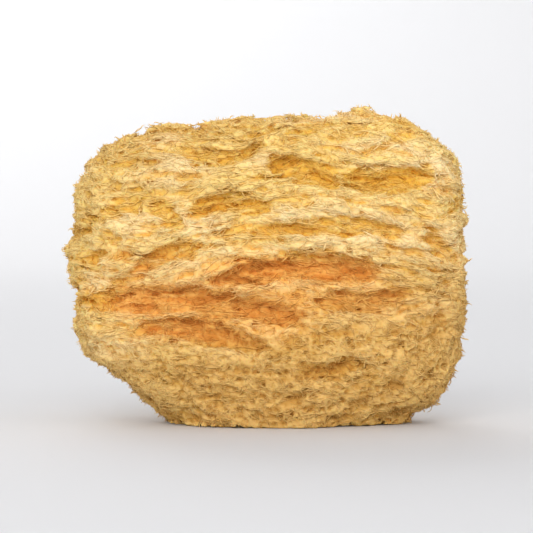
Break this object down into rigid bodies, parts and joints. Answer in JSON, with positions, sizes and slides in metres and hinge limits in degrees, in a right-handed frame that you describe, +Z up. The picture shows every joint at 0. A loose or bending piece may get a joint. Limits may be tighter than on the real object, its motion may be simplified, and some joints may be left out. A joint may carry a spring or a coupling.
{
  "type": "sea sponge",
  "caption": "Natural sea sponge for the bath: a plump block of soft golden fibre with long furrows and open canals, cut flat underneath where it grew.",
  "frame": {"origin": "middle of the flat cut underside, under the middle of the outer box", "axes": "+X along the sponge's long side, +Y from the broad furrowed face towards its back, +Z up from the cut"},
  "size_m": [0.108, 0.0579, 0.085],
  "materials": {
    "spongin": "matte"
  },
  "bodies": {
    "root": {"sponge": "spongin"}
  },
  "joints": []
}
